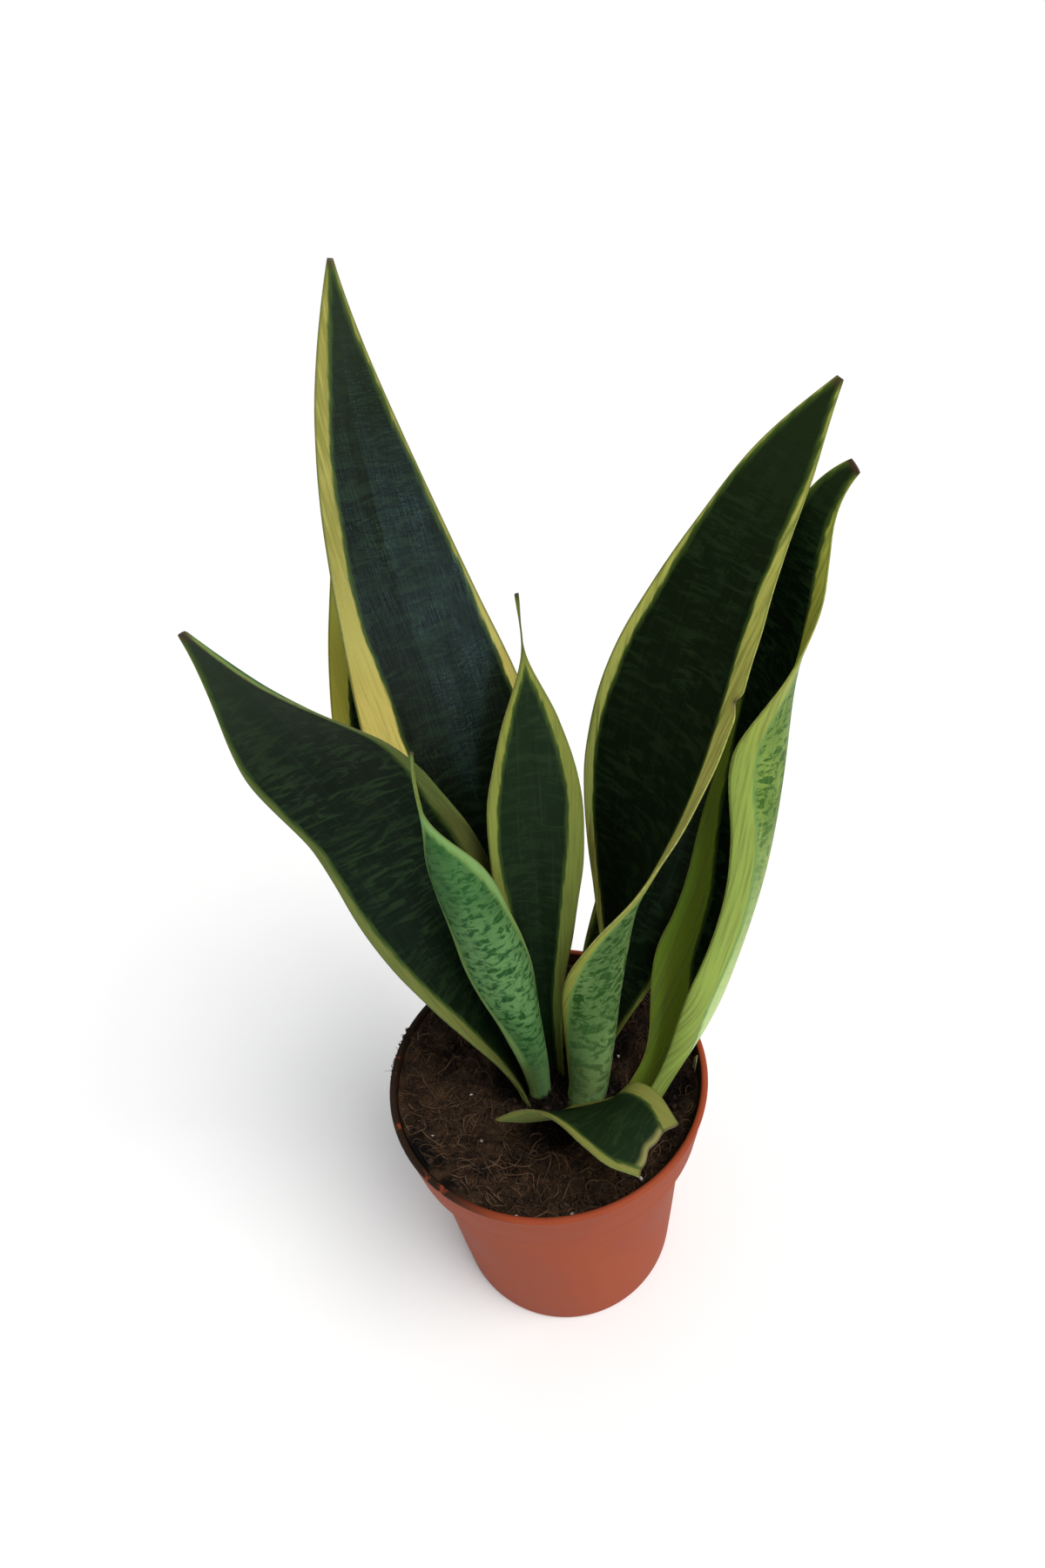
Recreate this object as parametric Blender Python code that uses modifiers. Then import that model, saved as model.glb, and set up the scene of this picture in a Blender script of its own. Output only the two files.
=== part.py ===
"""Potted snake plant: a plastic nursery pot, its soil, and a two-shoot plant of nine leaves.

The origin is the middle of the pot's flat base, +Z is up and +Y is the back of the plant.
Lengths below are in millimetres and angles in degrees; metres are made at the very end.
"""
import math

import bmesh
import bpy
from mathutils import Vector

MM = 0.001

# ---- pot -------------------------------------------------------------------------------
POT_HEIGHT = 103.0
RIM_RADIUS = 60.0
COLLAR_HEIGHT = 21.0
COLLAR_FOOT_RADIUS = 57.0
SHOULDER_RADIUS = 52.0
BASE_RADIUS = 45.5
WALL = 1.6
FLOOR = 2.4
LIP = 0.9                      # how far the rim bead stands out past the collar
FOOT_ROUND = 2.0
DRAIN_HOLES = 8
DRAIN_RADIUS = 4.5
DRAIN_CIRCLE = 31.0
POT_STEPS = 72

# ---- soil ------------------------------------------------------------------------------
GAP = 0.3                      # clearance kept between pieces that touch
SOIL_LEVEL = 93.0
SOIL_EDGE_RISE = 1.5           # the soil climbs a little where it meets the wall
SOIL_RINGS = 14
SOIL_STEPS = 64
DIP_DEPTH = 8.0                # each leaf stands in a dip with a flat middle and a sloping side
DIP_FLAT = 14.0
DIP_SLOPE = 9.0

# ---- rhizome: the stem under the soil that both shoots grow from -------------------------
RHIZOME_PATH = [(-8, 12, 78), (4, 8, 79.3), (20, 3, 73), (32, -3, 71), (41, -7, 77)]
RHIZOME_RADIUS = 6.5
RHIZOME_TUNNEL = 7.2

# ---- leaves ----------------------------------------------------------------------------
LEAF_THICKNESS = 2.4
THIN_EDGE = 0.62               # share of the thickness lost at the margins
THIN_TIP = 0.55                # share of the thickness lost at the tip
ALONG_STEPS = 25
ACROSS_STEPS = 8

# spine: the four control points of a Bezier curve from the leaf's foot to its tip.
# face, tilt: compass direction and rise of the inner face, at even steps from foot to tip.
# widths: width over the arc, at even steps. curl_left, curl_right: how far each half bends
# towards the inner face. pinch: share of the left and right halves left at the foot, and
# the share of the length over which they reach full width. buried: length below the foot.
LEAVES = {
    "leaf_tall_left": dict(
        spine=[(-4, 19, 96), (-7, 36, 220), (-37, 46, 293), (-28, 56, 364)],
        face=(-82, -78, -77), tilt=(5, 0, -4), widths=(26, 46, 57, 43, 25, 1.5),
        curl_left=(51, 18, 7), curl_right=(45, 12, 9)),
    "leaf_rear_left": dict(
        spine=[(-12, 32, 96), (-41, 49, 172), (-41, 62, 242), (-37, 74, 316)],
        face=(-81, -76, -68), tilt=(5, 0, -5), widths=(23, 38, 47, 43, 26, 1.5),
        curl_left=(50, 20, 9), curl_right=(50, 22, 8)),
    "leaf_low_left": dict(
        spine=[(-11, 2, 95), (-32, 9, 196), (-35, 11, 218), (-76, 1, 291)],
        face=(-14, -79, -124), tilt=(8, 6, 6), widths=(21, 39, 47, 46, 47, 4),
        curl_left=(51, -2, 33), curl_right=(52, -1, 67)),
    "leaf_centre": dict(
        spine=[(3, 8, 96), (4, 12, 185), (10, 12, 246), (9, 14, 285)],
        face=(-113, -93, -70), tilt=(5, 1, -1), widths=(14, 17, 26, 33, 31, 18, 1.5, 1.2),
        curl_left=(61, 40, 16), curl_right=(77, 40, 8)),
    "leaf_young_left": dict(
        spine=[(-2, -5, 97), (-2, -14, 162), (-31, -10, 213), (-25, -3, 250)],
        face=(120, 79, 36), tilt=(-3, 0, 4), widths=(12, 19, 31, 29, 23, 1.5, 1.2),
        curl_left=(95, 86, 21), curl_right=(76, 68, 41)),
    "leaf_right": dict(
        spine=[(18, -10, 96), (45, 19, 197), (47, 11, 272), (93, 17, 328)],
        face=(131, 186, 220, 244), tilt=(-7, 1, 10),
        widths=(31, 43, 53, 60, 63, 60, 52, 39, 27, 17, 2),
        curl_left=(73, 48, 20, 8), curl_right=(150, 55, 33, 12)),
    "leaf_right_rear": dict(
        spine=[(24, 16, 96), (35, 30, 136), (59, 39, 187), (81, 50, 237)],
        face=(-131, -110, -95), tilt=(5, 5, 5), widths=(14, 30, 34, 33, 26, 2),
        curl_left=(50, 22, 8), curl_right=(58, 21, 8)),
    "leaf_far_right": dict(
        spine=[(42, -9, 96), (112, 22, 208), (71, 20, 288), (93, 2, 311)],
        face=(207, 194, 178, 203, 247), tilt=(-3, 6, 12, 15), widths=(72, 48, 53, 62, 32, 14, 4),
        curl_left=(80, 62, 15, 2, 12), curl_right=(159, 116, 91, 4, 25),
        pinch=(0.3, 0.3, 0.15)),
    "leaf_front_low": dict(
        spine=[(2, -17, 96), (15, -30, 116), (20, -33, 118), (34, -46, 113)],
        face=(-34, -30, -39), tilt=(57, 45, 43), widths=(50, 42, 36, 36, 34, 24),
        curl_left=(22, 21, 6), curl_right=(15, 22, 2),
        pinch=(0.35, 1.0, 0.3), buried=1.0),
}
BURIED = 4.0
NO_PINCH = (1.0, 1.0, 1.0)

# ---- dry scale leaf standing behind the side shoot, by the rim ---------------------------
SCALE_FOOT = (55.8, -5.0, 94.8)
SCALE_HEIGHT = 9.0
SCALE_WIDTH = 3.6
SCALE_THICKNESS = 0.8
SCALE_LEAN = 3.0

# ---- finishes: base colour, roughness ----------------------------------------------------
FINISHES = {
    "pot_plastic": ((0.42, 0.115, 0.055), 0.5),
    "soil_mix": ((0.05, 0.026, 0.017), 0.95),
    "rhizome_skin": ((0.45, 0.32, 0.14), 0.7),
    "leaf_blade": ((0.018, 0.045, 0.02), 0.4),
    "leaf_young": ((0.13, 0.3, 0.12), 0.45),
    "dry_scale": ((0.45, 0.4, 0.26), 0.8),
}


def clear_scene():
    for item in list(bpy.data.objects):
        bpy.data.objects.remove(item, do_unlink=True)


def material(slot):
    found = bpy.data.materials.get(slot)
    if found:
        return found
    colour, roughness = FINISHES[slot]
    made = bpy.data.materials.new(slot)
    made.use_nodes = True
    shader = made.node_tree.nodes["Principled BSDF"]
    shader.inputs["Base Color"].default_value = (*colour, 1.0)
    shader.inputs["Roughness"].default_value = roughness
    shader.inputs["Metallic"].default_value = 0.0
    return made


def add_object(name, bm, slot, smooth=True):
    """Turn a bmesh drawn in millimetres into a named object in metres."""
    bmesh.ops.scale(bm, vec=(MM, MM, MM), verts=bm.verts)
    mesh = bpy.data.meshes.new(name)
    bm.to_mesh(mesh)
    bm.free()
    mesh.polygons.foreach_set("use_smooth", [smooth] * len(mesh.polygons))
    mesh.materials.append(material(slot))
    made = bpy.data.objects.new(name, mesh)
    bpy.context.scene.collection.objects.link(made)
    return made


def cut(target, cutter):
    """Take one solid out of another, and keep the cutter out of sight."""
    modifier = target.modifiers.new("cut_" + cutter.name, "BOOLEAN")
    modifier.operation = "DIFFERENCE"
    modifier.solver = "EXACT"
    modifier.object = cutter
    cutter.hide_render = True
    cutter.display_type = "WIRE"
    for collection in list(cutter.users_collection):
        collection.objects.unlink(cutter)
    cutters().objects.link(cutter)


def cutters():
    found = bpy.data.collections.get("cutters")
    if not found:
        found = bpy.data.collections.new("cutters")
        bpy.context.scene.collection.children.link(found)
    return found


def turn(profile, steps):
    """Spin a half-section that starts and ends on the Z axis into a closed solid."""
    bm = bmesh.new()
    verts = [bm.verts.new((radius, 0.0, height)) for radius, height in profile]
    edges = [bm.edges.new(pair) for pair in zip(verts, verts[1:])]
    bmesh.ops.spin(bm, geom=verts + edges, axis=(0, 0, 1), cent=(0, 0, 0),
                   angle=math.tau, steps=steps, use_merge=True)
    bmesh.ops.remove_doubles(bm, verts=bm.verts, dist=0.001)
    bmesh.ops.recalc_face_normals(bm, faces=bm.faces)
    return bm


def arc(centre, radius, start, end, steps):
    """Points round part of a circle, with the angles in degrees."""
    points = []
    for step in range(steps + 1):
        angle = math.radians(start + (end - start) * step / steps)
        points.append((centre[0] + radius * math.cos(angle),
                       centre[1] + radius * math.sin(angle)))
    return points


# ---- pot -------------------------------------------------------------------------------
COLLAR_FOOT = POT_HEIGHT - COLLAR_HEIGHT
SHOULDER_DROP = 2.5            # the shoulder under the collar slopes by this much


def inner_radius(height):
    """Radius of the pot's inside wall at a height."""
    if height <= COLLAR_FOOT - SHOULDER_DROP:
        share = height / (COLLAR_FOOT - SHOULDER_DROP)
        return BASE_RADIUS + (SHOULDER_RADIUS - BASE_RADIUS) * share - WALL
    if height <= COLLAR_FOOT:
        share = (height - COLLAR_FOOT + SHOULDER_DROP) / SHOULDER_DROP
        return SHOULDER_RADIUS + (COLLAR_FOOT_RADIUS - SHOULDER_RADIUS) * share - WALL
    share = (height - COLLAR_FOOT) / COLLAR_HEIGHT
    return COLLAR_FOOT_RADIUS + (RIM_RADIUS - LIP - COLLAR_FOOT_RADIUS) * share - WALL


def make_pot():
    lip_radius = (WALL + LIP) / 2
    lip_centre = (RIM_RADIUS - lip_radius, POT_HEIGHT - lip_radius)
    profile = [(0.0, FLOOR), (inner_radius(FLOOR), FLOOR)]
    profile.append((inner_radius(COLLAR_FOOT - SHOULDER_DROP), COLLAR_FOOT - SHOULDER_DROP))
    profile.append((inner_radius(COLLAR_FOOT), COLLAR_FOOT))
    profile += arc(lip_centre, lip_radius, 180, -70, 8)
    profile.append((RIM_RADIUS - LIP - 0.2, POT_HEIGHT - 2 * lip_radius - 0.6))
    profile.append((COLLAR_FOOT_RADIUS, COLLAR_FOOT))
    profile.append((COLLAR_FOOT_RADIUS - 0.7, COLLAR_FOOT - 0.8))
    profile.append((SHOULDER_RADIUS, COLLAR_FOOT - SHOULDER_DROP - 0.6))
    profile += arc((BASE_RADIUS - FOOT_ROUND, FOOT_ROUND), FOOT_ROUND, 0, -90, 4)
    profile.append((0.0, 0.0))
    pot = add_object("pot", turn(profile, POT_STEPS), "pot_plastic")
    holes = bmesh.new()
    for index in range(DRAIN_HOLES):
        angle = math.tau * (index + 0.5) / DRAIN_HOLES
        drill = bmesh.ops.create_cone(holes, segments=20, cap_ends=True, radius1=DRAIN_RADIUS,
                                      radius2=DRAIN_RADIUS, depth=4 * FLOOR)
        place = Vector((DRAIN_CIRCLE * math.cos(angle), DRAIN_CIRCLE * math.sin(angle), 0.0))
        bmesh.ops.translate(holes, vec=place, verts=drill["verts"])
    cut(pot, add_object("drain_drills", holes, "pot_plastic", smooth=False))
    return pot


# ---- soil ------------------------------------------------------------------------------
def dip(x, y):
    """How far the soil sinks at a point, towards the nearest leaf foot."""
    feet = [spec["spine"][0] for spec in LEAVES.values()]
    nearest = min(math.hypot(x - foot[0], y - foot[1]) for foot in feet)
    share = min(max((DIP_FLAT + DIP_SLOPE - nearest) / DIP_SLOPE, 0.0), 1.0)
    return DIP_DEPTH * share * share * (3 - 2 * share)


def make_soil():
    edge = SOIL_LEVEL + SOIL_EDGE_RISE
    top_radius = inner_radius(edge) - GAP
    profile = [(top_radius * ring / SOIL_RINGS, SOIL_LEVEL) for ring in range(SOIL_RINGS)]
    profile.append((top_radius, edge))
    profile.append((inner_radius(COLLAR_FOOT) - 2 * GAP, COLLAR_FOOT + GAP))
    shoulder = COLLAR_FOOT - SHOULDER_DROP
    profile.append((inner_radius(shoulder) - 2 * GAP, shoulder + GAP))
    profile.append((inner_radius(FLOOR) - GAP, FLOOR + GAP))
    profile.append((0.0, FLOOR + GAP))
    bm = turn(profile, SOIL_STEPS)
    for vert in bm.verts:
        if vert.co.z > COLLAR_FOOT + 1.0 and vert.co.xy.length < top_radius - 1.0:
            vert.co.z -= dip(vert.co.x, vert.co.y)
    soil = add_object("soil", bm, "soil_mix", smooth=False)
    cut(soil, make_rhizome("rhizome_tunnel", RHIZOME_TUNNEL))
    return soil


def make_rhizome(name, radius):
    """A thick creeping stem: a round bar along the path, with domed-off ends."""
    curve = bpy.data.curves.new(name, "CURVE")
    curve.dimensions = "3D"
    curve.bevel_depth = radius * MM
    curve.bevel_resolution = 2
    curve.use_fill_caps = True
    curve.resolution_u = 4
    spline = curve.splines.new("BEZIER")
    spline.bezier_points.add(len(RHIZOME_PATH) - 1)
    path = [Vector(point) for point in RHIZOME_PATH]
    extra = radius - RHIZOME_RADIUS
    path[0] = path[0] + (path[0] - path[1]).normalized() * extra
    path[-1] = path[-1] + (path[-1] - path[-2]).normalized() * extra
    for point, place in zip(spline.bezier_points, path):
        point.co = place * MM
        point.handle_left_type = "AUTO"
        point.handle_right_type = "AUTO"
    tube = bpy.data.objects.new(name + "_curve", curve)
    bpy.context.scene.collection.objects.link(tube)
    bpy.context.view_layer.update()
    mesh = bpy.data.meshes.new_from_object(tube.evaluated_get(bpy.context.evaluated_depsgraph_get()))
    bpy.data.objects.remove(tube, do_unlink=True)
    mesh.name = name
    mesh.materials.clear()
    mesh.materials.append(material("rhizome_skin"))
    made = bpy.data.objects.new(name, mesh)
    bpy.context.scene.collection.objects.link(made)
    return made


# ---- leaves ----------------------------------------------------------------------------
def blend(knots, share):
    """A smooth curve through evenly spaced values, read at a share from 0 to 1."""
    last = len(knots) - 1
    span = min(int(share * last), last - 1)
    here = share * last - span
    low, high = knots[span], knots[span + 1]
    low_slope = (high - knots[span - 1]) / 2 if span > 0 else high - low
    high_slope = (knots[span + 2] - low) / 2 if span < last - 1 else high - low
    return (low * (2 * here ** 3 - 3 * here ** 2 + 1) + high * (3 * here ** 2 - 2 * here ** 3)
            + low_slope * (here ** 3 - 2 * here ** 2 + here)
            + high_slope * (here ** 3 - here ** 2))


def spine_at(points, share):
    """Place and direction on the leaf's Bezier spine."""
    first, second, third, fourth = [Vector(point) for point in points]
    rest = 1.0 - share
    place = (first * rest ** 3 + second * (3 * share * rest ** 2)
             + third * (3 * share ** 2 * rest) + fourth * share ** 3)
    way = ((second - first) * rest ** 2 + (third - second) * (2 * share * rest)
           + (fourth - third) * share ** 2)
    return place, way.normalized()


def leaf_point(spec, share, across):
    """A point of the leaf's middle surface: share runs foot to tip, across from -1 to 1."""
    place, along = spine_at(spec["spine"], share)
    compass = math.radians(blend(spec["face"], share))
    rise = math.radians(blend(spec["tilt"], share))
    face = Vector((math.cos(rise) * math.cos(compass), math.cos(rise) * math.sin(compass),
                   math.sin(rise)))
    side = along.cross(face).normalized()
    inward = side.cross(along)
    left_share, right_share, reach = spec.get("pinch", NO_PINCH)
    opened = min(share / reach, 1.0)
    opened = opened * opened * (3 - 2 * opened)
    kept = right_share if across > 0 else left_share
    half = blend(spec["widths"], share) / 2 * (kept + (1 - kept) * opened)
    curl = math.radians(blend(spec["curl_right" if across > 0 else "curl_left"], share))
    if abs(curl) < 0.001:
        curl = 0.001
    radius = half / curl
    turned = abs(across) * curl
    return (place + side * math.copysign(1.0, across) * radius * math.sin(turned)
            + inward * radius * (1 - math.cos(turned)))


def make_leaf(name, spec, slot):
    """A sheet bent along the spine and given a thickness that thins to the margins and tip."""
    bm = bmesh.new()
    bmesh.ops.create_grid(bm, x_segments=ACROSS_STEPS, y_segments=ALONG_STEPS, size=1.0)
    layer = bm.verts.layers.deform.new()
    _, foot_way = spine_at(spec["spine"], 0.0)
    for vert in bm.verts:
        across = vert.co.x
        row = (vert.co.y + 1) / 2 * ALONG_STEPS - 1      # the first row is the buried end
        share = max(row, 0.0) / (ALONG_STEPS - 1)
        vert.co = leaf_point(spec, share, across)
        if row < -0.5:
            vert.co -= foot_way * spec.get("buried", BURIED)
        vert[layer][0] = (1 - THIN_EDGE * across ** 2) * (1 - THIN_TIP * share ** 2)
    leaf = add_object(name, bm, slot)
    leaf.vertex_groups.new(name="fleshy")
    shell = leaf.modifiers.new("thickness", "SOLIDIFY")
    shell.thickness = LEAF_THICKNESS * MM
    shell.offset = 0.0
    shell.vertex_group = "fleshy"
    return leaf


def make_dry_scale():
    """A dry strip, narrowing and leaning a little as it rises."""
    bm = bmesh.new()
    bmesh.ops.create_cube(bm, size=1.0)
    bmesh.ops.subdivide_edges(bm, edges=bm.edges, cuts=3, use_grid_fill=True)
    for vert in bm.verts:
        rise = vert.co.z + 0.5
        narrow = 1 - 0.5 * rise
        bow = 0.35 * SCALE_WIDTH * (vert.co.y * 2) ** 2
        vert.co = Vector((SCALE_FOOT[0] + vert.co.x * SCALE_THICKNESS - bow * narrow
                          + rise * rise * SCALE_LEAN / 4,
                          SCALE_FOOT[1] + vert.co.y * SCALE_WIDTH * narrow,
                          SCALE_FOOT[2] + rise * SCALE_HEIGHT))
    return add_object("dry_scale", bm, "dry_scale")


def main():
    clear_scene()
    make_pot()
    make_soil()
    make_rhizome("rhizome", RHIZOME_RADIUS)
    for name, spec in LEAVES.items():
        make_leaf(name, spec, "leaf_young" if name == "leaf_young_left" else "leaf_blade")
    make_dry_scale()


main()
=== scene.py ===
import math
import random

import bmesh
import bpy
from mathutils import Matrix, Vector, noise


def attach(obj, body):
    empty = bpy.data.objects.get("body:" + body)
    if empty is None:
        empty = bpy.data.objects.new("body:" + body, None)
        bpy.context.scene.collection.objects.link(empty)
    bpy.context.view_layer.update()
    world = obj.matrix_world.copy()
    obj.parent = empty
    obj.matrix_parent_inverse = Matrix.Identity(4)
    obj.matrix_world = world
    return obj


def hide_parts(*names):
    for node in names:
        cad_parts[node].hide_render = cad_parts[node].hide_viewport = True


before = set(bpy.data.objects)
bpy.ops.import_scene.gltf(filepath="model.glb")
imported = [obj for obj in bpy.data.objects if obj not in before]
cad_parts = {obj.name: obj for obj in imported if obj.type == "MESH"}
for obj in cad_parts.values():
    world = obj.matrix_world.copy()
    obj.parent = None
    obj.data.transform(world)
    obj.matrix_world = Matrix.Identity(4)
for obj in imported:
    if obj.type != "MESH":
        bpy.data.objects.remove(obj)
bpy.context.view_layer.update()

mm = 0.001                                  # pieces are in millimetres, camera and lights in metres


def blendKnots(knots, share):               # smooth curve through evenly spaced values
    last = len(knots) - 1
    span = min(int(share * last), last - 1)
    here = share * last - span
    low, high = knots[span], knots[span + 1]
    lowSlope = (high - knots[span - 1]) / 2 if span > 0 else high - low
    highSlope = (knots[span + 2] - low) / 2 if span < last - 1 else high - low
    return (low * (2 * here ** 3 - 3 * here ** 2 + 1) + high * (3 * here ** 2 - 2 * here ** 3)
            + lowSlope * (here ** 3 - 2 * here ** 2 + here)
            + highSlope * (here ** 3 - here ** 2))


def ease(value, low, high):                 # 0 below low, 1 above high, smooth between
    share = min(max((value - low) / (high - low), 0.0), 1.0)
    return share * share * (3 - 2 * share)


def addObject(name, bm, paints, smooth=True):
    bmesh.ops.scale(bm, vec=(mm, mm, mm), verts=bm.verts)
    mesh = bpy.data.meshes.new(name)
    bm.to_mesh(mesh)
    bm.free()
    mesh.polygons.foreach_set("use_smooth", [smooth] * len(mesh.polygons))
    for paint in paints:
        mesh.materials.append(paint)
    made = bpy.data.objects.new(name, mesh)
    bpy.context.scene.collection.objects.link(made)
    return made


def settle(piece, slotName, *nodes):        # every piece rides on the one body
    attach(piece, "root")
    if nodes:
        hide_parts(*nodes)


def thicken(piece, thickness):              # gives a sheet its thickness and a rounded edge
    shell = piece.modifiers.new("thickness", "SOLIDIFY")
    shell.thickness = thickness * mm
    shell.offset = 0.0
    soften = piece.modifiers.new("roundedEdge", "SUBSURF")
    soften.levels = 1
    soften.render_levels = 1
    return shell


def bakeMesh(piece):                        # applies the modifiers, or turns a curve into a mesh
    graph = bpy.context.evaluated_depsgraph_get()
    bpy.context.view_layer.update()
    mesh = bpy.data.meshes.new_from_object(piece.evaluated_get(graph))
    made = bpy.data.objects.new(piece.name + "Mesh", mesh)
    bpy.context.scene.collection.objects.link(made)
    name = piece.name
    bpy.data.objects.remove(piece, do_unlink=True)
    made.name = name
    mesh.name = name
    return made


# Material helpers: a socket given as a value is linked, anything else is set on the socket.
def addNode(tree, kind, values=None, **settings):
    made = tree.nodes.new("ShaderNode" + kind)
    for name, value in settings.items():
        setattr(made, name, value)
    for key, value in (values or {}).items():
        socket = made.inputs[key]
        if isinstance(value, bpy.types.NodeSocket):
            tree.links.new(value, socket)
        elif socket.type == "RGBA" and len(value) == 3:
            socket.default_value = (*value, 1.0)
        else:
            socket.default_value = value
    return made


def newPaint(name, values):
    paint = bpy.data.materials.new(name)
    paint.use_nodes = True
    tree = paint.node_tree
    shader = tree.nodes["Principled BSDF"]
    for key, value in values.items():
        shader.inputs[key].default_value = (*value, 1.0) if isinstance(value, tuple) else value
    return paint, tree, shader


def readAttribute(tree, name):
    return addNode(tree, "Attribute", attribute_name=name).outputs["Fac"]


def stretch(tree, place, scale, turn=0.0):
    return addNode(tree, "Mapping", {"Vector": place, "Scale": scale,
                                     "Rotation": (0.0, 0.0, turn)}).outputs["Vector"]


def grain(tree, place, scale, detail=3.0, roughness=0.5, twist=0.0):
    return addNode(tree, "TexNoise", {"Vector": place, "Scale": scale, "Detail": detail,
                                      "Roughness": roughness, "Distortion": twist}).outputs["Fac"]


def fade(tree, value, low, high, start=0.0, end=1.0):
    return addNode(tree, "MapRange", {"Value": value, "From Min": low, "From Max": high,
                                      "To Min": start, "To Max": end},
                   interpolation_type="SMOOTHSTEP").outputs["Result"]


def sums(tree, kind, first, second, third=0.0):
    return addNode(tree, "Math", {0: first, 1: second, 2: third}, operation=kind).outputs[0]


def tint(tree, amount, low, high, way="MIX"):
    return addNode(tree, "Mix", {0: amount, 6: low, 7: high},
                   data_type="RGBA", blend_type=way).outputs[2]


def finishPaint(tree, shader, colour, roughness, height, strength, depth):
    tree.links.new(colour, shader.inputs["Base Color"])
    tree.links.new(roughness, shader.inputs["Roughness"])
    bump = addNode(tree, "Bump", {"Height": height, "Strength": strength, "Distance": depth})
    tree.links.new(bump.outputs["Normal"], shader.inputs["Normal"])


# Camera: looks down into the plant from the front, close to it, with a wide lens.
cameraView = {"place": (0.00426, -0.19843, 0.36923), "pitch": 34.56, "roll": -7.12, "lens": 19.03}


def placeCamera():
    pitch, roll = math.radians(cameraView["pitch"]), math.radians(cameraView["roll"])
    ahead = Vector((0.0, math.cos(pitch), -math.sin(pitch)))
    level, upright = Vector((1.0, 0.0, 0.0)), Vector((0.0, math.sin(pitch), math.cos(pitch)))
    side = level * math.cos(roll) + upright * math.sin(roll)
    top = upright * math.cos(roll) - level * math.sin(roll)
    lens = bpy.data.cameras.new("mainCamera")
    lens.sensor_fit = "VERTICAL"
    lens.sensor_height = 36.0
    lens.lens = cameraView["lens"]
    lens.clip_start = 0.005
    eye = bpy.data.objects.new("mainCamera", lens)
    eye.matrix_world = (Matrix.Translation(cameraView["place"])
                        @ Matrix((side, top, -ahead)).transposed().to_4x4())
    bpy.context.scene.collection.objects.link(eye)
    bpy.context.scene.camera = eye


# Light: a white room, a wide soft sun from the right, and a small cool panel in front.
studio = {"roomLight": 0.50, "roomTone": (0.98, 0.99, 1.0), "backdrop": 1.0,
          "sun": 2.5, "sunTone": (1.0, 0.985, 0.96), "sunSpread": 42.0,
          "sunFrom": (0.75, -0.60, 1.25),
          "panel": 1.4, "panelTone": (0.45, 0.88, 1.0), "panelPlace": (0.07, -0.90, 0.25),
          "panelAim": (-0.02, 0.04, 0.29), "panelSize": (0.10, 0.25),
          "floorTone": (0.93, 0.93, 0.93), "floorReach": 60.0}


def aimAt(place, target):
    return (Vector(target) - Vector(place)).to_track_quat("-Z", "Y").to_euler()


def lightStudio():
    scene = bpy.context.scene
    scene.view_settings.view_transform = "Standard"
    world = bpy.data.worlds.new("whiteRoom")
    world.use_nodes = True
    tree = world.node_tree
    tree.nodes.clear()
    lit = addNode(tree, "Background",
                  {"Color": studio["roomTone"], "Strength": studio["roomLight"]})
    seen = addNode(tree, "Background",      # what the camera sees behind the plant
                   {"Color": (1.0, 1.0, 1.0), "Strength": studio["backdrop"]})
    path = addNode(tree, "LightPath")
    both = addNode(tree, "MixShader", {0: path.outputs["Is Camera Ray"],
                                       1: lit.outputs[0], 2: seen.outputs[0]})
    end = tree.nodes.new("ShaderNodeOutputWorld")
    tree.links.new(both.outputs[0], end.inputs["Surface"])
    scene.world = world

    sun = bpy.data.lights.new("softSun", "SUN")
    sun.energy = studio["sun"]
    sun.color = studio["sunTone"]
    sun.angle = math.radians(studio["sunSpread"])
    holder = bpy.data.objects.new("softSun", sun)
    holder.rotation_euler = aimAt(studio["sunFrom"], (0.0, 0.0, 0.0))
    scene.collection.objects.link(holder)

    panel = bpy.data.lights.new("coolPanel", "AREA")
    panel.shape = "RECTANGLE"
    panel.size, panel.size_y = studio["panelSize"]
    panel.energy = studio["panel"]
    panel.color = studio["panelTone"]
    holder = bpy.data.objects.new("coolPanel", panel)
    holder.location = studio["panelPlace"]
    holder.rotation_euler = aimAt(studio["panelPlace"], studio["panelAim"])
    scene.collection.objects.link(holder)


def layFloor():
    paint, tree, shader = newPaint("paleFloor", {"Specular IOR Level": 0.1})
    place = addNode(tree, "TexCoord").outputs["Object"]
    colour = tint(tree, grain(tree, place, 30.0), studio["floorTone"], (0.95, 0.95, 0.95))
    finishPaint(tree, shader, colour, fade(tree, grain(tree, place, 60.0), 0.0, 1.0, 0.75, 0.9),
                grain(tree, place, 400.0), 0.02, 0.001)
    bm = bmesh.new()
    bmesh.ops.create_grid(bm, x_segments=4, y_segments=4, size=studio["floorReach"] / mm)
    addObject("studioFloor", bm, [paint], smooth=False)


placeCamera()
lightStudio()
layFloor()
print("camera, light and floor are in place")


# Leaf finish: dark green with broken cross bands and fine lengthwise streaks, and a yellow margin
# of changing width on each side. Tones are linear colours. crossBands is how many blotches there
# are to a centimetre, across and along; footReach and tipFrom are shares of the leaf's length.
darkFace = {"dark": (0.003, 0.0080, 0.0028), "light": (0.018, 0.036, 0.012), "bandShare": 0.7,
            "streak": (0.018, 0.034, 0.014), "streakShare": 0.22,
            "tip": (0.014, 0.023, 0.008), "foot": (0.009, 0.022, 0.005),
            "yellowLow": (0.27, 0.27, 0.05), "yellowHigh": (0.24, 0.23, 0.04),
            "yellowStreak": (0.15, 0.17, 0.035), "olive": (0.045, 0.075, 0.014),
            "margin": (0.10, 0.13, 0.025), "crossBands": (1.0, 3.2), "contrast": (0.46, 0.62),
            "footShare": 0.75, "footReach": 0.16, "tipFrom": 0.72, "twist": 0.9,
            "gloss": 0.5, "shine": 0.06}
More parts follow.
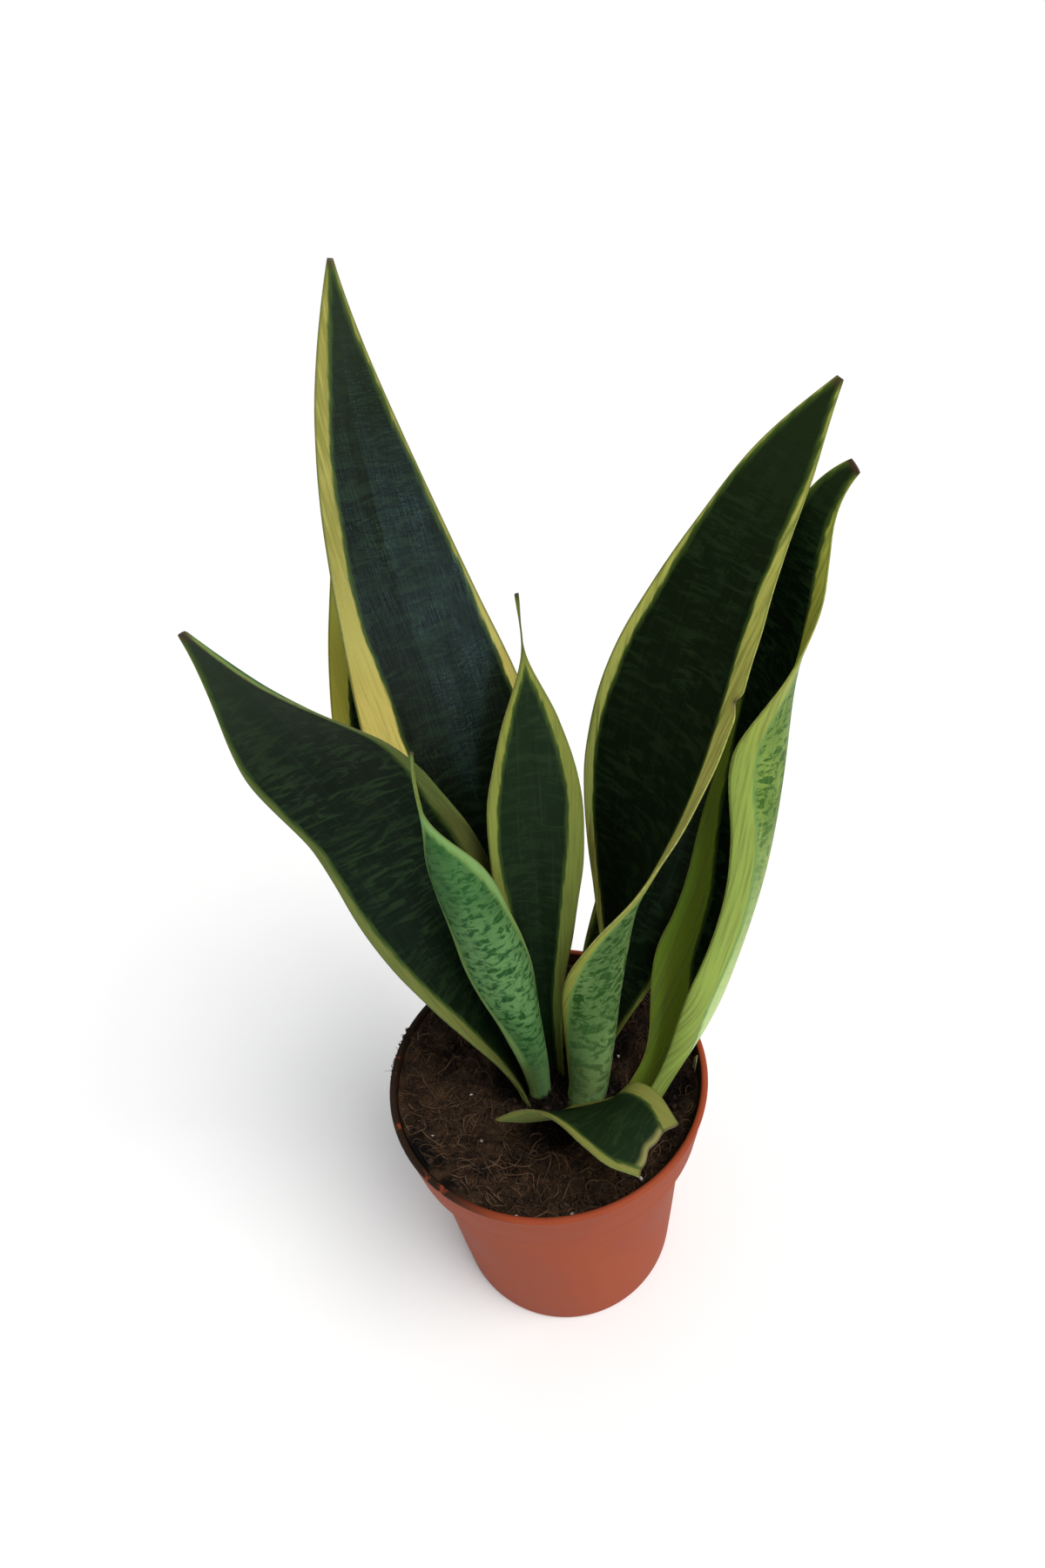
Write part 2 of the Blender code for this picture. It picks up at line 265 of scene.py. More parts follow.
paleBack = {"dark": (0.020, 0.070, 0.014), "light": (0.10, 0.20, 0.07), "bandShare": 1.0,
            "streak": (0.13, 0.23, 0.09), "streakShare": 0.25, "tip": (0.035, 0.09, 0.025),
            "foot": (0.13, 0.25, 0.09), "crossBands": (2.6, 4.2), "contrast": (0.42, 0.54),
            "olive": (0.14, 0.24, 0.06), "twist": 0.6, "gloss": 0.5, "shine": 0.08}
dryBrown = (0.055, 0.03, 0.018)             # scars and dry tips


def leafPaint(name, changes, base=darkFace):
    look = {**darkFace, **base, **changes}
    paint, tree, shader = newPaint(name, {"Specular IOR Level": look["shine"]})
    place = addNode(tree, "UVMap", uv_map="bladeMap").outputs["UV"]       # centimetres
    rise = readAttribute(tree, "rise")

    slow = grain(tree, stretch(tree, place, (0.4, 0.35, 1.0)), 1.0, 1.0)
    quick = grain(tree, stretch(tree, place, (8.0, 1.1, 1.0)), 1.0, 3.0)
    wander = sums(tree, "MULTIPLY_ADD", slow, 1.4, -0.7)                  # millimetres
    ragged = sums(tree, "MULTIPLY_ADD", quick, 1.7, -0.85)
    edges, olives = [], []
    nearest = None
    for side in ("left", "right"):
        reach, band = readAttribute(tree, side + "Reach"), readAttribute(tree, side + "Band")
        inside = sums(tree, "SUBTRACT", reach, band)
        inside = sums(tree, "ADD", sums(tree, "ADD", inside, wander), ragged)
        edges.append(fade(tree, inside, -0.3, 0.5))
        olives.append(fade(tree, inside, 0.2, 1.9))
        nearest = reach if nearest is None else sums(tree, "MINIMUM", nearest, reach)
    darkPart = sums(tree, "MULTIPLY", edges[0], edges[1])
    deepPart = sums(tree, "MULTIPLY", olives[0], olives[1])

    across, along = look["crossBands"]
    bands = grain(tree, stretch(tree, place, (across, along, 1.0), 0.12),
                  1.0, 4.0, 0.62, look["twist"])
    bands = fade(tree, bands, *look["contrast"])
    broad = grain(tree, stretch(tree, place, (0.5, 0.25, 1.0)), 1.0, 2.0)
    bands = sums(tree, "MULTIPLY", bands, fade(tree, broad, 0.35, 0.65, 0.45, 1.0))
    threads = grain(tree, stretch(tree, place, (9.0, 0.35, 1.0)), 1.0, 3.0, 0.6)
    banded = sums(tree, "MULTIPLY", bands, look["bandShare"])
    streaked = sums(tree, "MULTIPLY", fade(tree, threads, 0.5, 0.72), look["streakShare"])
    nearFoot = fade(tree, rise, 0.0, look["footReach"], look["footShare"], 0.0)
    green = tint(tree, banded, look["dark"], look["light"])
    green = tint(tree, streaked, green, look["streak"])
    green = tint(tree, fade(tree, rise, look["tipFrom"], 1.0, 0.0, 0.8), green, look["tip"])
    green = tint(tree, nearFoot, green, look["foot"])

    yellow = tint(tree, fade(tree, rise, 0.35, 0.75), look["yellowLow"], look["yellowHigh"])
    yellow = tint(tree, fade(tree, threads, 0.42, 0.68, 0.0, 0.75), yellow, look["yellowStreak"])
    yellow = tint(tree, fade(tree, nearest, 0.15, 0.9, 0.7, 0.0), yellow, look["margin"])
    green = tint(tree, deepPart, look["olive"], green)
    colour = tint(tree, darkPart, yellow, green)
    colour = tint(tree, readAttribute(tree, "scar"), colour, dryBrown)

    smears = grain(tree, stretch(tree, place, (1.2, 0.5, 1.0)), 1.0, 3.0)
    gloss = fade(tree, smears, 0.3, 0.7, look["gloss"] - 0.06, look["gloss"] + 0.1)
    ridges = grain(tree, stretch(tree, place, (22.0, 0.8, 1.0)), 1.0, 2.0)
    dimples = grain(tree, stretch(tree, place, (5.0, 9.0, 1.0)), 1.0, 2.0)
    relief = sums(tree, "ADD", sums(tree, "MULTIPLY", ridges, 0.6),
                  sums(tree, "MULTIPLY", dimples, 0.4))
    finishPaint(tree, shader, colour, gloss, relief, 0.35, 0.0006)
    return paint


def rimPaint(name, tone, ends):             # the cut edge all round a leaf
    paint, tree, shader = newPaint(name, {"Specular IOR Level": 0.3})
    place = addNode(tree, "UVMap", uv_map="bladeMap").outputs["UV"]
    mottle = grain(tree, place, 6.0, 3.0)
    colour = tint(tree, fade(tree, mottle, 0.35, 0.65), tone, tuple(part * 0.7 for part in tone))
    colour = tint(tree, fade(tree, readAttribute(tree, "rise"), 0.97, 1.0), colour, ends)
    colour = tint(tree, readAttribute(tree, "scar"), colour, dryBrown)
    finishPaint(tree, shader, colour, fade(tree, mottle, 0.3, 0.7, 0.42, 0.6), mottle, 0.3, 0.0004)
    return paint


# Each leaf follows a four-point spine from the crown to its tip. face and tilt give the compass
# direction and rise of the inner face, widths the width over the arc, and leftCurl and rightCurl
# how far each half bends towards the inner face, all at even steps from foot to tip. pinch is the
# share of each half left at the foot and the share of the length over which it opens. leftBand and
# rightBand are the widths of the yellow margins. scars are dry spots: side (0 for a whole tip),
# share, length, depth. sunk is how far the foot goes into the mix, endHollow how far a cut end is
# scooped. inner and outer change the finish of the two faces.
leaves = {
    "tallLeftLeaf": dict(
        node="leaf_tall_left", spine=[(-4, 19, 96), (-7, 36, 220), (-37, 46, 293), (-28, 56, 364)],
        face=(-82, -78, -77), tilt=(5, 0, -4), widths=(26, 46, 57, 43, 25, 1.5),
        leftCurl=(51, 18, 7), rightCurl=(45, 12, 9),
        leftBand=(10, 12, 14, 14, 13, 10.6, 6.3, 5.0, 4.1, 3.0, 0.4),
        rightBand=(5, 5, 5, 5, 4, 2.7, 1.1, 0.5, 0.6, 0.9, 0.4),
        inner={"yellowLow": (0.76, 0.62, 0.16), "yellowHigh": (0.23, 0.21, 0.04),
               "yellowStreak": (0.42, 0.36, 0.09), "dark": (0.0025, 0.006, 0.0025),
               "light": (0.013, 0.028, 0.011), "shine": 0.17, "gloss": 0.28}),
    "rearLeftLeaf": dict(
        node="leaf_rear_left", spine=[(-12, 32, 96), (-41, 49, 172), (-41, 62, 242), (-37, 74, 316)],
        face=(-81, -76, -68), tilt=(5, 0, -5), widths=(23, 38, 47, 43, 26, 1.5),
        leftCurl=(50, 20, 9), rightCurl=(50, 22, 8),
        leftBand=(7, 8, 8, 7, 6.5, 6, 6.2, 6.8, 6, 4, 0.5), rightBand=(6, 6, 6, 5, 4, 0.5),
        inner={"yellowLow": (0.62, 0.54, 0.08), "yellowHigh": (0.56, 0.50, 0.08),
               "yellowStreak": (0.50, 0.46, 0.07)}),
    "lowLeftLeaf": dict(
        node="leaf_low_left", spine=[(-11, 2, 95), (-32, 9, 196), (-35, 11, 218), (-76, 1, 291)],
        face=(-14, -79, -124), tilt=(8, 6, 6), widths=(21, 39, 47, 46, 47, 4),
        leftCurl=(51, -2, 33), rightCurl=(52, -1, 67),
        leftBand=(4.5, 4.2, 2.6, 2.0, 1.1, 0.3),
        rightBand=(6, 6, 6, 6, 5.6, 5.5, 4.6, 3, 1.0, 0.3, 0.2),
        inner={"yellowLow": (0.13, 0.14, 0.035), "yellowHigh": (0.10, 0.12, 0.03),
               "yellowStreak": (0.08, 0.095, 0.025), "tip": (0.024, 0.036, 0.018)}),
    "centreLeaf": dict(
        node="leaf_centre", spine=[(3, 8, 96), (4, 12, 185), (10, 12, 246), (9, 14, 285)],
        face=(-113, -93, -70), tilt=(5, 1, -1), widths=(14, 17, 26, 33, 31, 18, 1.5, 1.2),
        leftCurl=(61, 40, 16), rightCurl=(77, 40, 8),
        leftBand=(2.5, 3, 3, 3.4, 1.2, 0.2), rightBand=(4, 5, 6, 4.2, 1.4, 0.2),
        inner={"yellowLow": (0.22, 0.25, 0.05), "yellowHigh": (0.24, 0.24, 0.045),
               "streakShare": 0.6, "dark": (0.008, 0.018, 0.006)}),
    "youngLeftLeaf": dict(
        node="leaf_young_left", spine=[(-2, -5, 97), (-2, -14, 162), (-31, -10, 213), (-25, -3, 250)],
        face=(120, 79, 36), tilt=(-3, 0, 4), widths=(12, 19, 31, 29, 23, 1.5, 1.2),
        leftCurl=(95, 86, 21), rightCurl=(76, 68, 41),
        leftBand=(2, 2, 2, 2, 1.5, 0.3), rightBand=(3, 4, 4, 3.5, 2, 0.3),
        inner={}, outer={"light": (0.10, 0.20, 0.065), "dark": (0.012, 0.058, 0.012),
                         "crossBands": (3.2, 4.6), "contrast": (0.38, 0.56),
                         "tip": (0.02, 0.085, 0.015), "tipFrom": 0.35,
                         "yellowLow": (0.21, 0.31, 0.10), "yellowHigh": (0.16, 0.27, 0.09),
                         "yellowStreak": (0.15, 0.25, 0.08)}, slot="leaf_young"),
    "rightLeaf": dict(
        node="leaf_right", spine=[(18, -10, 96), (45, 19, 197), (47, 11, 272), (93, 17, 328)],
        face=(131, 186, 220, 244), tilt=(-7, 1, 10),
        widths=(31, 43, 53, 60, 63, 60, 52, 39, 27, 17, 2),
        leftCurl=(73, 48, 20, 8), rightCurl=(150, 55, 33, 12),
        leftBand=(3, 3, 3.5, 3.6, 3.8, 3.5, 3.6, 2.6, 0.6, 0.4, 0.3),
        rightBand=(3, 3, 3, 2.8, 6.5, 7, 7, 5.5, 2.7, 0.9, 0.3),
        scars=[(1, 0.625, 0.008, 0.16)],
        inner={"dark": (0.006, 0.011, 0.004), "light": (0.016, 0.028, 0.010), "shine": 0.0,
               "yellowLow": (0.50, 0.48, 0.12), "yellowHigh": (0.44, 0.42, 0.09)},
        outer={"light": (0.15, 0.24, 0.075), "dark": (0.020, 0.065, 0.010),
               "foot": (0.19, 0.29, 0.11), "footShare": 0.3}),
    "rightRearLeaf": dict(
        node="leaf_right_rear", spine=[(24, 16, 96), (35, 30, 136), (59, 39, 187), (81, 50, 237)],
        face=(-131, -110, -95), tilt=(5, 5, 5), widths=(14, 30, 34, 33, 26, 2),
        leftCurl=(50, 22, 8), rightCurl=(58, 21, 8),
        leftBand=(1, 1, 1, 1, 1, 0.3), rightBand=(1.2, 1.2, 1, 1, 1, 0.3),
        inner={"streakShare": 0.5, "dark": (0.005, 0.010, 0.003)}),
    "farRightLeaf": dict(
        node="leaf_far_right", spine=[(42, -9, 96), (112, 22, 208), (71, 20, 288), (93, 2, 311)],
        face=(207, 194, 178, 203, 247), tilt=(-3, 6, 12, 15), widths=(72, 48, 53, 62, 32, 14, 4),
        leftCurl=(80, 62, 15, 2, 12), rightCurl=(159, 116, 91, 4, 25), pinch=(0.3, 0.3, 0.15),
        leftBand=(18, 15, 10, 6, 4, 3, 3, 2.2, 1.8, 0.6, 0.3),
        rightBand=(8, 8, 8, 8, 7, 7, 6.5, 5, 2.6, 0.8, 0.3), scars=[(0, 1.0, 0.014, 0.0)],
        inner={"yellowLow": (0.17, 0.24, 0.020), "yellowHigh": (0.36, 0.36, 0.05), "shine": 0.0,
               "foot": (0.05, 0.10, 0.012)},
        outer={"light": (0.19, 0.27, 0.05), "dark": (0.035, 0.095, 0.010),
               "foot": (0.52, 0.62, 0.26), "footShare": 0.95, "footReach": 0.42,
               "streak": (0.26, 0.34, 0.07), "streakShare": 0.7,
               "yellowLow": (0.25, 0.32, 0.06), "yellowHigh": (0.30, 0.32, 0.045)}),
    "frontLowLeaf": dict(
        node="leaf_front_low", spine=[(2, -17, 96), (15, -30, 116), (20, -33, 118), (34, -46, 113)],
        face=(-34, -30, -39), tilt=(57, 45, 43), widths=(50, 42, 36, 36, 34, 24),
        leftCurl=(22, 21, 6), rightCurl=(15, 22, 2), pinch=(0.35, 1.0, 0.3), sunk=1.0,
        leftBand=(5, 4.5, 4.5, 5, 5.5, 5.5), rightBand=(3, 2.6, 2.4, 2.4, 2.4, 2.2),
        inner={"dark": (0.007, 0.017, 0.005), "tip": (0.34, 0.32, 0.11), "tipFrom": 0.94,
               "yellowLow": (0.24, 0.23, 0.055), "yellowHigh": (0.19, 0.19, 0.045)},
        cutEnd=(0.45, 0.42, 0.28), endHollow=2.6,
        outer={"dark": (0.20, 0.20, 0.05), "light": (0.26, 0.26, 0.07), "foot": (0.24, 0.24, 0.07),
               "yellowLow": (0.26, 0.25, 0.06), "yellowHigh": (0.26, 0.25, 0.06)}),
}
bladeBuild = {"thickness": 2.4, "thinMargin": 0.62, "thinTip": 0.55, "alongSteps": 150,
              "acrossSteps": 28, "footSteps": 6, "sunk": 9.0, "wave": 0.5, "ripple": 0.3,
              "channel": 0.35, "dryTip": 0.8, "endRipple": 0.14}


def spineAt(points, share):
    first, second, third, fourth = [Vector(point) for point in points]
    rest = 1.0 - share
    place = (first * rest ** 3 + second * (3 * share * rest ** 2)
             + third * (3 * share ** 2 * rest) + fourth * share ** 3)
    way = ((second - first) * rest ** 2 + (third - second) * (2 * share * rest)
           + (fourth - third) * share ** 2)
    return place, way.normalized()


def bladeRow(leaf, share):                  # what a row of points across the leaf shares
    place, along = spineAt(leaf["spine"], share)
    compass = math.radians(blendKnots(leaf["face"], share))
    rise = math.radians(blendKnots(leaf["tilt"], share))
    face = Vector((math.cos(rise) * math.cos(compass), math.cos(rise) * math.sin(compass),
                   math.sin(rise)))
    side = along.cross(face).normalized()
    leftKept, rightKept, reach = leaf.get("pinch", (1.0, 1.0, 1.0))
    opened = ease(share, 0.0, reach)
    width = blendKnots(leaf["widths"], share) / 2
    halves = [width * (kept + (1 - kept) * opened) for kept in (leftKept, rightKept)]
    curls = [math.radians(blendKnots(leaf[key], share)) for key in ("leftCurl", "rightCurl")]
    curls = [curl if abs(curl) > 0.001 else 0.001 for curl in curls]
    return place, along, side, side.cross(along), halves, curls


def bladePoint(row, across):
    place, _, side, inward, halves, curls = row
    pick = 1 if across > 0 else 0
    radius = halves[pick] / curls[pick]
    turned = abs(across) * curls[pick]
    return (place + side * math.copysign(abs(radius * math.sin(turned)), across)
            + inward * radius * (1 - math.cos(turned)))


def makeLeaf(name, leaf):
    build = bladeBuild
    seed = sum(ord(letter) for letter in name) * 0.37
    stops = [spineAt(leaf["spine"], step / 60)[0] for step in range(61)]
    length = sum((after - before).length for before, after in zip(stops, stops[1:]))
    bm = bmesh.new()
    bmesh.ops.create_grid(bm, x_segments=build["acrossSteps"], y_segments=build["alongSteps"],
                          size=1.0)
    bodySteps = build["alongSteps"] - build["footSteps"]
    layers = {key: bm.verts.layers.float.new(key)
              for key in ("leftReach", "rightReach", "leftBand", "rightBand", "rise", "scar")}
    fleshy = bm.verts.layers.deform.new()
    rows, flat = {}, {}
    lifts = []
    for vert in bm.verts:
        across = vert.co.x
        step = round((vert.co.y + 1) / 2 * build["alongSteps"]) - build["footSteps"]
        share = max(step, 0) / bodySteps
        if step not in rows:
            rows[step] = bladeRow(leaf, share)
        row = rows[step]
        scar = 0.0
        bent = across
        for side, spot, spread, depth in leaf.get("scars", ()):
            near = math.exp(-((share - spot) / spread) ** 2)
            outer = ease(abs(across), 0.86, 1.0) if side * across > 0 or side == 0 else 0.0
            if side == 0:
                scar = max(scar, ease(share, spot - spread, spot - spread * 0.4))
            else:
                bent = bent * (1 - depth * near * outer)
                scar = max(scar, near * ease(abs(across), 0.8, 0.97) if side * across > 0 else 0.0)
        vert.co = bladePoint(row, bent)
        if step < 0:
            vert.co -= row[1] * (-step / build["footSteps"]) * leaf.get("sunk", build["sunk"])
        hollow = (1 - across ** 2) + build["endRipple"] * math.sin(across * 9.0)
        vert.co -= row[1] * leaf.get("endHollow", 0.0) * hollow * ease(share, 0.75, 1.0)
        left, right = row[4]
        reachLeft = left + (across * left if across < 0 else across * right)
        reachRight = right - (across * right if across > 0 else across * left)
        vert[layers["leftReach"]] = reachLeft
        vert[layers["rightReach"]] = reachRight
        vert[layers["leftBand"]] = blendKnots(leaf["leftBand"], share)
        vert[layers["rightBand"]] = blendKnots(leaf["rightBand"], share)
        vert[layers["rise"]] = share
        vert[layers["scar"]] = max(scar, ease(share, 0.985, 0.998) * build["dryTip"])
        vert[fleshy][0] = ((1 - build["thinMargin"] * across ** 2)
                           * (1 - build["thinTip"] * share ** 2))
        acrossMm, alongMm = (reachLeft - left), length * (step / bodySteps)
        flat[vert] = (acrossMm / 10 + seed, alongMm / 10)
        wave = noise.noise(Vector((alongMm / 16, seed, 1.0 if across > 0 else 2.0)))
        ripple = noise.noise(Vector((acrossMm / 8, alongMm / 45, seed)))
        narrow = ease(left + right, 4.0, 24.0)
        lift = (build["wave"] * wave * abs(across) ** 3 + build["ripple"] * ripple
                - build["channel"] * math.exp(-(across / 0.12) ** 2))
        lifts.append((vert, narrow * lift))
    bm.normal_update()                      # all moves are known before the first point is moved
    moves = [(vert, vert.normal * lift) for vert, lift in lifts]
    for vert, move in moves:
        vert.co += move
    uvLayer = bm.loops.layers.uv.new("bladeMap")
    for face in bm.faces:
        for loop in face.loops:
            loop[uvLayer].uv = flat[loop.vert]
    inner = leafPaint(name + "Inner", leaf["inner"])
    outer = leafPaint(name + "Outer", leaf.get("outer", {}), paleBack)
    yellow = {**darkFace, **leaf["inner"]}["yellowHigh"]
    rim = rimPaint(name + "Rim", tuple(part * 0.8 for part in yellow),
                   leaf.get("cutEnd", (0.05, 0.03, 0.02)))
    piece = addObject(name, bm, [inner, outer, rim])
    piece.vertex_groups.new(name="fleshy")
    shell = thicken(piece, build["thickness"])
    shell.vertex_group = "fleshy"
    shell.material_offset = 1               # outer face
    shell.material_offset_rim = 2
    settle(piece, leaf.get("slot", "leaf_blade"), leaf["node"])


for leafName, leafShape in leaves.items():
    makeLeaf(leafName, leafShape)
print("nine leaves are shaped and painted")


# Pot: a spun plastic nursery pot with a deep collar, a rolled lip and drain holes.
pot = {"height": 103.0, "rimRadius": 60.0, "collarHeight": 21.0, "collarFoot": 57.0,
       "shoulder": 52.0, "shoulderDrop": 2.5, "base": 45.5, "wall": 1.6, "floor": 2.4, "lip": 0.9,
       "round": 2.0, "holes": 8, "holeRadius": 4.5, "holeCircle": 31.0, "steps": 192,
       "tone": (0.265, 0.047, 0.018), "shade": (0.19, 0.034, 0.013), "faded": (0.31, 0.062, 0.026),
       # the dirt tone serves for soil smudged on the lip, and for painted shade on the inside of the
       # collar
       "dirtAndShade": (0.022, 0.012, 0.007)}
collarStart = pot["height"] - pot["collarHeight"]           # heights of the collar's foot and of
shoulderTop = collarStart - pot["shoulderDrop"]             # the shoulder under it


def arcPoints(centre, radius, start, end, steps):
    turns = [math.radians(start + (end - start) * step / steps) for step in range(steps + 1)]
    return [(centre[0] + radius * math.cos(turn), centre[1] + radius * math.sin(turn))
            for turn in turns]


def spinProfile(profile, steps):
    bm = bmesh.new()
    verts = [bm.verts.new((radius, 0.0, height)) for radius, height in profile]
    edges = [bm.edges.new(pair) for pair in zip(verts, verts[1:])]
    bmesh.ops.spin(bm, geom=verts + edges, axis=(0, 0, 1), cent=(0, 0, 0),
                   angle=math.tau, steps=steps, use_merge=True)
    bmesh.ops.remove_doubles(bm, verts=bm.verts, dist=0.001)
    bmesh.ops.recalc_face_normals(bm, faces=bm.faces)
    return bm


def innerRadius(height):                    # radius of the pot's inside at a height
    if height <= shoulderTop:
        outside = pot["base"] + (pot["shoulder"] - pot["base"]) * height / shoulderTop
    elif height <= collarStart:
        outside = (pot["shoulder"] + (pot["collarFoot"] - pot["shoulder"])
                   * (height - shoulderTop) / pot["shoulderDrop"])
    else:
        outside = (pot["collarFoot"] + (pot["rimRadius"] - pot["lip"] - pot["collarFoot"])
                   * (height - collarStart) / pot["collarHeight"])
    return outside - pot["wall"]


def potPaint():
    paint, tree, shader = newPaint("clayPlastic", {"Specular IOR Level": 0.08})
    place = addNode(tree, "TexCoord").outputs["Object"]
    parts = addNode(tree, "SeparateXYZ", {"Vector": place}).outputs
    cloudy = grain(tree, place, 28.0, 4.0, 0.55)
    runs = grain(tree, stretch(tree, place, (160.0, 160.0, 9.0)), 1.0, 3.0)
    specks = grain(tree, place, 900.0, 2.0)
    colour = tint(tree, fade(tree, cloudy, 0.3, 0.7), pot["tone"], pot["faded"])
    colour = tint(tree, fade(tree, runs, 0.55, 0.8, 0.0, 0.15), colour, pot["shade"])
    colour = tint(tree, fade(tree, specks, 0.62, 0.72, 0.0, 0.25), colour, pot["shade"])
    radius = sums(tree, "SQRT", sums(tree, "MULTIPLY_ADD", parts["X"], parts["X"],
                                     sums(tree, "MULTIPLY", parts["Y"], parts["Y"])), 0.0)
    patches = fade(tree, grain(tree, place, 160.0, 4.0), 0.24, 0.38)
    onLip = fade(tree, parts["Z"], 0.1005, 0.1020)
    onLeft = fade(tree, parts["X"], -0.015, -0.040)
    # painted shade: the inside of the collar above the mix is darkened almost to the dirt tone
    inside = fade(tree, radius, 0.0579, 0.0575)
    inCollar = fade(tree, parts["Z"], 0.089, 0.091)
    lipDirt = sums(tree, "MULTIPLY", onLip, onLeft)
    innerWallShade = sums(tree, "MULTIPLY", inside, inCollar)
    colour = tint(tree, sums(tree, "MULTIPLY", lipDirt, patches), colour, pot["dirtAndShade"])
    colour = tint(tree, sums(tree, "MULTIPLY", innerWallShade, 0.92), colour, pot["dirtAndShade"])
    satin = fade(tree, cloudy, 0.3, 0.7, 0.5, 0.64)
    rough = sums(tree, "MULTIPLY", grain(tree, place, 1500.0, 2.0), 0.5)
    finishPaint(tree, shader, colour, satin, sums(tree, "ADD", rough, runs), 0.12, 0.0003)
    return paint


def makePot():                              # the profile runs up the inside and down the outside
    lipRadius = (pot["wall"] + pot["lip"]) / 2
    lipCentre = (pot["rimRadius"] - lipRadius, pot["height"] - lipRadius)
    outside = pot["rimRadius"] - pot["lip"]
    profile = [(0.0, pot["floor"]), (20.0, pot["floor"]),
               (innerRadius(pot["floor"]) - 1.2, pot["floor"])]
    profile += arcPoints((innerRadius(4.0) - 1.4, pot["floor"] + 1.4), 1.4, -80, -10, 5)
    profile += [(innerRadius(height), height) for height in (20.0, 40.0, 60.0, shoulderTop)]
    profile += [(innerRadius(height), height) for height in (collarStart, 92.0)]
    profile += arcPoints(lipCentre, lipRadius, 180, -68, 18)
    profile += [(outside - 0.15, pot["height"] - 2 * lipRadius - 0.5),
                (outside - 0.35, 97.0), (58.1, 90.0)]
    profile += arcPoints((pot["collarFoot"] - 0.9, collarStart + 0.9), 0.9, 8, -75, 8)
    profile += arcPoints((pot["shoulder"] + 1.4, shoulderTop - 1.6), 1.4, 80, 178, 7)
    profile += [(pot["base"] + (pot["shoulder"] - pot["base"]) * height / shoulderTop, height)
                for height in (60.0, 40.0, 20.0)]
    profile += arcPoints((pot["base"] - pot["round"], pot["round"]), pot["round"], 0, -90, 8)
    profile += [(41.0, 0.0), (40.2, 0.5), (20.0, 0.5), (0.0, 0.5)]
    piece = addObject("nurseryPot", spinProfile(profile, pot["steps"]), [potPaint()])
    drills = bmesh.new()
    for index in range(pot["holes"]):
        angle = math.tau * (index + 0.5) / pot["holes"]
        place = Matrix.Translation((pot["holeCircle"] * math.cos(angle),
                                    pot["holeCircle"] * math.sin(angle), 1.0))
        bmesh.ops.create_cone(drills, segments=32, cap_ends=True, radius1=pot["holeRadius"] + 0.3,
                              radius2=pot["holeRadius"] - 0.3, depth=8.0, matrix=place)
    drill = addObject("drainDrills", drills, [])
    holes = piece.modifiers.new("drainHoles", "BOOLEAN")
    holes.operation = "DIFFERENCE"
    holes.solver = "EXACT"
    holes.object = drill
    piece = bakeMesh(piece)
    bpy.data.objects.remove(drill, do_unlink=True)
    settle(piece, "pot_plastic", "pot")


makePot()
print("pot is turned")


# Potting mix: a plug of dark peat and coir that fills the pot, with a lumpy top, loose crumbs,
# fibres and white specks. reach is how far out a fibre may run, spread how far out one may start.
soil = {"level": 93.5, "edgeClimb": 3.2, "leftBank": 5.0, "top": 101.0, "rings": 120, "steps": 220,
        "gap": 0.3, "peat": (0.014, 0.007, 0.0035), "coir": (0.060, 0.032, 0.017),
        # near black tone for random damp patches, and painted shade around the leaf feet
        "dampAndShade": (0.002, 0.001, 0.0007),
        "fibres": 2600, "reach": 56.0, "spread": 55.5, "lipFibres": 22, "lipCrumbs": 24,
        "fibreTones": ((0.15, 0.085, 0.045), (0.055, 0.028, 0.014), (0.018, 0.009, 0.005)),
        "crumbs": 1100, "moreSpecks": 10,
        "perlite": [(25.0, -50.0), (27.5, -45.5), (-15.5, -53.5), (3.0, -54.5)],
        "seed": 41}
dice = random.Random(soil["seed"])
feet = [shape["spine"][0] for shape in leaves.values()]


def nearCrown(x, y):                        # 1 against a leaf foot, 0 away from them all
    return 1 - ease(min(math.hypot(x - foot[0], y - foot[1]) for foot in feet), 4.0, 17.0)


def soilHeight(x, y):
    radius = math.hypot(x, y)
    bank = ease(-x / max(radius, 1.0), 0.2, 0.75)            # the mix lies higher on the left
    height = (soil["level"] + soil["edgeClimb"] * ease(radius, 44.0, 57.0)
              + soil["leftBank"] * bank * ease(radius, 38.0, 57.0))
    height += 1.7 * noise.noise(Vector((x / 21, y / 21, 3.1)))
    height += 2.3 * noise.noise(Vector((x / 7, y / 7, 8.4)))
    height += 1.5 * noise.noise(Vector((x / 2.6, y / 2.6, 1.7)))
    return height - 3.0 * nearCrown(x, y)


def soilPaint():
    paint, tree, shader = newPaint("peatAndCoir", {"Specular IOR Level": 0.15})
    place = addNode(tree, "TexCoord").outputs["Object"]
    clumps = grain(tree, place, 90.0, 5.0, 0.6)
    threads = grain(tree, stretch(tree, place, (900.0, 300.0, 600.0), 0.7), 1.0, 4.0, 0.6, 2.5)
    crossed = grain(tree, stretch(tree, place, (300.0, 1000.0, 600.0), 0.3), 1.0, 4.0, 0.6, 2.5)
    woven = sums(tree, "MAXIMUM", threads, crossed)
    colour = tint(tree, fade(tree, clumps, 0.35, 0.68), soil["peat"], soil["coir"])
    colour = tint(tree, fade(tree, woven, 0.56, 0.70, 0.0, 0.8), colour, soil["fibreTones"][0])
    colour = tint(tree, fade(tree, grain(tree, place, 45.0, 3.0), 0.42, 0.28), colour, soil["dampAndShade"])
    # painted shade: the mix turns near black towards the leaf feet, where the crown shades it
    colour = tint(tree, fade(tree, readAttribute(tree, "crown"), 0.1, 0.8), colour, soil["dampAndShade"])
    finishPaint(tree, shader, colour, fade(tree, clumps, 0.3, 0.7, 0.8, 0.98), woven, 0.9, 0.0015)
    return paint


